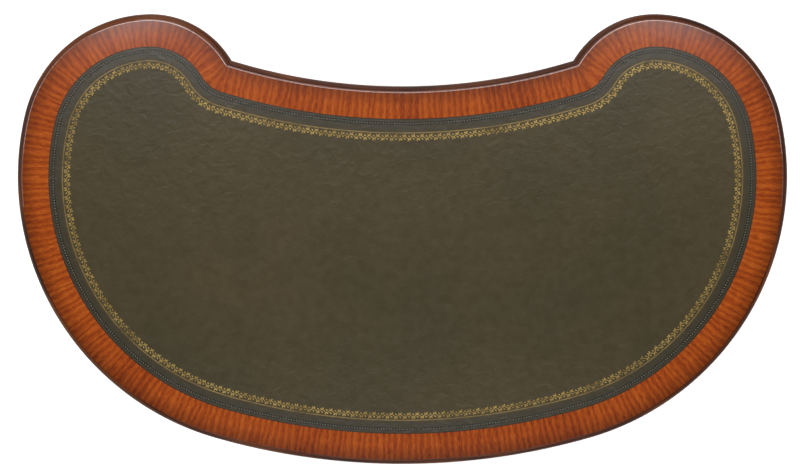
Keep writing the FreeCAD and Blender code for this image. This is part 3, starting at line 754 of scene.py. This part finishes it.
def cockbead(drawer):
    """Half-round bead round one drawer front, bent to its bow."""
    low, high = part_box(drawer + "_front")
    ends = sorted((front_along(low.x), front_along(high.x)))
    corners = ((ends[0], low.z), (ends[1], high.z))
    mesh = bmesh.new()
    section = [(0, -BEAD_SINK)]
    for step in range(BEAD_STEPS + 1):
        angle = math.pi * step / BEAD_STEPS
        section.append((BEAD_WIDTH / 2 * (1 - math.cos(angle)), BEAD_HEIGHT * math.sin(angle)))
    section.append((BEAD_WIDTH, -BEAD_SINK))
    loops = [rectangle(mesh, inset, height, corners) for inset, height in section]
    for outer, inner in zip(loops, loops[1:] + loops[:1]):
        bmesh.ops.bridge_loops(mesh, edges=outer + inner)
    level = [edge for edge in mesh.edges
             if abs(edge.verts[0].co.x - edge.verts[1].co.x) > (ends[1] - ends[0]) / 2]
    bmesh.ops.subdivide_edges(mesh, edges=level, cuts=BEAD_CUTS, use_grid_fill=True)
    for vert in mesh.verts:
        along, height, proud = vert.co
        vert.co = outline_point(along, FRONT_SETBACK - proud, FRONT_SETBACK) + UP * height
    bmesh.ops.recalc_face_normals(mesh, faces=mesh.faces[:])
    bead = finished(mesh, drawer + "_cockbead", drawer)
    return bead


drawers = [name[:-len("_front")] for name in sorted(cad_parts) if name.endswith("_front")]
beads = [cockbead(drawer) for drawer in drawers]

# %% [markdown]
# ## Solid wood, cut from the tree
# The grain of the carcase and the drawers can be read from plain space: a noise that is stretched along the
# grain and squeezed across it. Where a board runs upright the stretch is along Z, and on a bowed drawer front
# it runs sideways without looking at the depth, so that the figure bends with the front.
# Shown wood is French-polished, which gives the eye depth and a clear gleam. Hidden wood is planed and dull.

# %% Helper for the woods of the carcase
FINE_LINES = 0.35
GLEAM = 0.05
DULLNESS = 0.07


def wood(name, grain, tones, figure_width, line_width, roughness, coat):
    """Wood whose grain runs along the axis where `grain`, the share of the figure's pace, is small."""
    material, tree, shader = new_finish(name, Roughness=roughness, Specular_IOR_Level=0.2, Coat_Weight=coat,
                                        Coat_Roughness=0.14)
    place = add(tree, "ShaderNodeTexCoord")
    figure_map = add(tree, "ShaderNodeMapping", {"Vector": place.outputs["Object"],
                                                 "Scale": [share / figure_width for share in grain]})
    line_map = add(tree, "ShaderNodeMapping", {"Vector": place.outputs["Object"],
                                               "Scale": [share / line_width for share in grain]})
    figure = add(tree, "ShaderNodeTexNoise", {"Vector": figure_map.outputs[0], "Scale": 1.0, "Detail": 5.0,
                                              "Roughness": 0.55, "Distortion": 0.9})
    lines = add(tree, "ShaderNodeTexNoise", {"Vector": line_map.outputs[0], "Scale": 1.0, "Detail": 2.0})
    shares = add(tree, "ShaderNodeMix", {0: FINE_LINES, 2: figure.outputs[0], 3: lines.outputs[0]})
    ramp = add(tree, "ShaderNodeValToRGB", {"Fac": shares.outputs[0]}, stops=tones)
    gloss = add(tree, "ShaderNodeMapRange", {"Value": lines.outputs[0], "From Min": 0.3, "From Max": 0.7,
                                             "To Min": roughness - GLEAM, "To Max": roughness + DULLNESS})
    bump = add(tree, "ShaderNodeBump", {"Height": lines.outputs[0], "Strength": 0.12, "Distance": 0.0003})
    tree.links.new(ramp.outputs[0], shader.inputs["Base Color"])
    tree.links.new(gloss.outputs[0], shader.inputs["Roughness"])
    tree.links.new(bump.outputs[0], shader.inputs["Normal"])
    return material


# %% The six woods
MAHOGANY = [(0.30, "#4A1C0B"), (0.70, "#9A4A1C"), (0.50, "#74310F")]
PLAIN_MAHOGANY = [(0.30, "#5A2C17"), (0.70, "#96603A"), (0.50, "#774326")]
OAK = [(0.30, "#8A6538"), (0.70, "#C9A873"), (0.50, "#AD8750")]
upright = wood("french_polished_mahogany_upright", grain=(1, 1, 0.07), tones=MAHOGANY,
               figure_width=0.034, line_width=0.0035, roughness=0.40, coat=0.4)
sideways = wood("french_polished_mahogany_drawer_fronts", grain=(0.07, 0, 1), tones=MAHOGANY,
                figure_width=0.030, line_width=0.0032, roughness=0.40, coat=0.4)
level_run = wood("french_polished_mahogany_plinth", grain=(0.06, 0.06, 1), tones=MAHOGANY,
                 figure_width=0.030, line_width=0.0035, roughness=0.42, coat=0.35)
plain = wood("planed_mahogany_carcase", grain=(0.08, 1, 1), tones=PLAIN_MAHOGANY,
             figure_width=0.028, line_width=0.0030, roughness=0.52, coat=0)
oak_walls = wood("planed_oak_drawer_sides", grain=(0.07, 0.07, 1), tones=OAK,
                 figure_width=0.018, line_width=0.0022, roughness=0.55, coat=0)
oak_floor = wood("planed_oak_drawer_bottoms", grain=(0.06, 1, 1), tones=OAK,
                 figure_width=0.020, line_width=0.0024, roughness=0.55, coat=0)
print("woods:", *[finish.name for finish in (upright, sideways, level_run, plain, oak_walls, oak_floor)])

# %% [markdown]
# ## The brass
# Posts and bails are cast and turned brass, polished by hand and browned by air and fingers.
# A single gold colour looks like plastic, so a soft noise lets darker lacquer sit unevenly on the metal.

# %% Aged polished brass
TARNISH = 0.006
brass, tree, shader = new_finish("aged_polished_brass", Metallic=1.0, Roughness=0.26)
place = add(tree, "ShaderNodeTexCoord")
tarnish = add(tree, "ShaderNodeTexNoise", {"Vector": place.outputs["Object"], "Scale": 1 / TARNISH,
                                           "Detail": 4.0})
tones = add(tree, "ShaderNodeValToRGB", {"Fac": tarnish.outputs[0]},
            stops=[(0.32, "#8A6A2C"), (0.66, "#D8B666"), (0.48, "#BE984A")])
gloss = add(tree, "ShaderNodeMapRange", {"Value": tarnish.outputs[0], "From Min": 0.3, "From Max": 0.7,
                                         "To Min": 0.38, "To Max": 0.20})
tree.links.new(tones.outputs[0], shader.inputs["Base Color"])
tree.links.new(gloss.outputs[0], shader.inputs["Roughness"])
print("finish of the handles:", brass.name)

# %% Give every CAD piece its finish
for name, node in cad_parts.items():
    if name.endswith(("_bail", "_handle_posts")):
        paint(node, brass)
    elif name.endswith("_front"):
        paint(node, sideways)
    elif name.endswith("_box"):
        paint(node, oak_walls)
    elif name.endswith("_bottom"):
        paint(node, oak_floor)
    elif name in ("plinth", "kneehole_drawer_frame") or name.endswith("_boards"):
        paint(node, level_run)
    elif name.endswith(("_shell", "_inner_side", "back_panel")):
        paint(node, upright)
    else:
        paint(node, plain)
for bead in beads:
    paint(bead, edge_finish)
print("finishes given to", len(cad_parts), "CAD pieces")

# %% [markdown]
# ## Floor, light and camera
# The picture is taken from nearly straight above, against white. The floor is a sheet of white paper on a
# light table: near the desk half of its white is its own glow, and the lamps add the rest, less the shadow.
# One sun would leave hard shadows, so soft lamps stand round the desk. Those above the user's side give the
# leather its sheen and draw the bright line on the rim, the others light the wood, and the room around fills
# the shadows.

# %% White floor
FLOOR_SIZE = 6.0
NEAR_GLOW = 0.56
GLOW_FADE = (0.9, 3.2)
floor_mesh = bmesh.new()
bmesh.ops.create_grid(floor_mesh, x_segments=1, y_segments=1, size=FLOOR_SIZE)
floor_data = bpy.data.meshes.new("paper_floor")
floor_mesh.to_mesh(floor_data)
floor_mesh.free()
floor = bpy.data.objects.new("paper_floor", floor_data)
bpy.context.scene.collection.objects.link(floor)
paper, tree, shader = new_finish("white_paper", Base_Color=colour("#F4F4F2"), Roughness=0.9)
ray = add(tree, "ShaderNodeLightPath")
seen = add(tree, "ShaderNodeMath", {0: ray.outputs["Is Camera Ray"], 1: ray.outputs["Is Glossy Ray"]},
           operation="MAXIMUM")
seen = add(tree, "ShaderNodeMath", {0: seen.outputs[0], 1: ray.outputs["Is Transmission Ray"]},
           operation="MAXIMUM")
place = add(tree, "ShaderNodeTexCoord")
away = add(tree, "ShaderNodeVectorMath", {0: place.outputs["Object"]}, operation="LENGTH")
table = add(tree, "ShaderNodeMapRange", {"Value": away.outputs["Value"], "From Min": GLOW_FADE[0],
                                         "From Max": GLOW_FADE[1], "To Min": NEAR_GLOW, "To Max": 1.0})
strength = add(tree, "ShaderNodeMath", {0: seen.outputs[0], 1: table.outputs[0]}, operation="MULTIPLY")
glow = add(tree, "ShaderNodeEmission", {"Color": colour("#FFFFFF"), "Strength": strength.outputs[0]})
both = add(tree, "ShaderNodeAddShader", {0: shader.outputs[0], 1: glow.outputs[0]})
tree.links.new(both.outputs[0], tree.nodes["Material Output"].inputs["Surface"])
paint(floor, paper)
print("floor", 2 * FLOOR_SIZE, "m wide")

# %% Soft studio light
WALL_LIGHT = 0.36
CEILING_LIGHT = 0.08
room = bpy.data.worlds.new("white_room")
room.use_nodes = True
bpy.context.scene.world = room
tree = room.node_tree
ray = add(tree, "ShaderNodeLightPath")
direction = add(tree, "ShaderNodeTexCoord")
parted = add(tree, "ShaderNodeSeparateXYZ", {"Vector": direction.outputs["Generated"]})
walls = add(tree, "ShaderNodeMapRange", {"Value": parted.outputs[2], "From Min": 0.2, "From Max": 0.8,
                                         "To Min": WALL_LIGHT, "To Max": CEILING_LIGHT})
strength = add(tree, "ShaderNodeMapRange", {"Value": ray.outputs["Is Camera Ray"],
                                            "To Min": walls.outputs[0], "To Max": 1.0})
tree.links.new(strength.outputs[0], tree.nodes["Background"].inputs["Strength"])
tree.nodes["Background"].inputs["Color"].default_value = colour("#FFFFFF")


def soft_lamp(name, place, aim, size, power):
    """Lamp of `size`, width and height, that shines from `place` towards `aim`."""
    lamp = bpy.data.lights.new(name, "AREA")
    lamp.shape = "RECTANGLE"
    lamp.size, lamp.size_y = size
    lamp.energy = power
    holder = bpy.data.objects.new(name, lamp)
    holder.location = place
    holder.rotation_mode = "QUATERNION"
    holder.rotation_quaternion = (Vector(aim) - Vector(place)).to_track_quat("-Z", "Y")
    bpy.context.scene.collection.objects.link(holder)


# %% The lamps, with their power in watts
AT_TOP = (0, 0, 0.76)
AT_BODY = (0, 0, 0.6)
AT_DRAWERS = (0, 0, 0.5)
soft_lamp("window_lamp", (0, -1.15, 3.1), AT_TOP, size=(1.4, 0.5), power=14)
for side, corner_power, flank_power, side_power in ((-1, 8, 10, 3), (1, 9, 8, 14)):
    soft_lamp("corner_lamp", (0.9 * side, -1.05, 3.0), AT_TOP, size=(0.8, 0.5), power=corner_power)
    soft_lamp("flank_lamp", (2.1 * side, -1.0, 2.6), AT_TOP, size=(1.6, 0.35), power=flank_power)
    soft_lamp("side_lamp", (3.0 * side, 0.1, 1.6), AT_BODY, size=(3.0, 2.2), power=side_power)
soft_lamp("front_lamp", (0.5, -3.0, 1.7), AT_DRAWERS, size=(1.6, 1.2), power=22)
soft_lamp("back_lamp", (0, 2.4, 3.4), AT_BODY, size=(3.0, 1.2), power=60)
print(len(bpy.data.lights), "lamps")

# %% Camera above the user's side
CAMERA_PLACE = Vector((0.0042, -0.1430, 2.7620))
CAMERA_AIM = Vector((0.0042, -0.0100, 0.7620))
camera_data = bpy.data.cameras.new("camera")
camera_data.sensor_width = 36.0
camera_data.lens = 52.70
camera = bpy.data.objects.new("camera", camera_data)
ahead = (CAMERA_AIM - CAMERA_PLACE).normalized()
right = ahead.cross(Vector((0, -1, 0))).normalized()
above = right.cross(ahead)
turned = Matrix((right, above, -ahead)).transposed().to_4x4()
camera.matrix_world = Matrix.Translation(CAMERA_PLACE) @ turned
bpy.context.scene.collection.objects.link(camera)
bpy.context.scene.camera = camera
bpy.context.scene.view_settings.view_transform = "Standard"
print("camera", round((CAMERA_AIM - CAMERA_PLACE).length, 3), "m from the top")
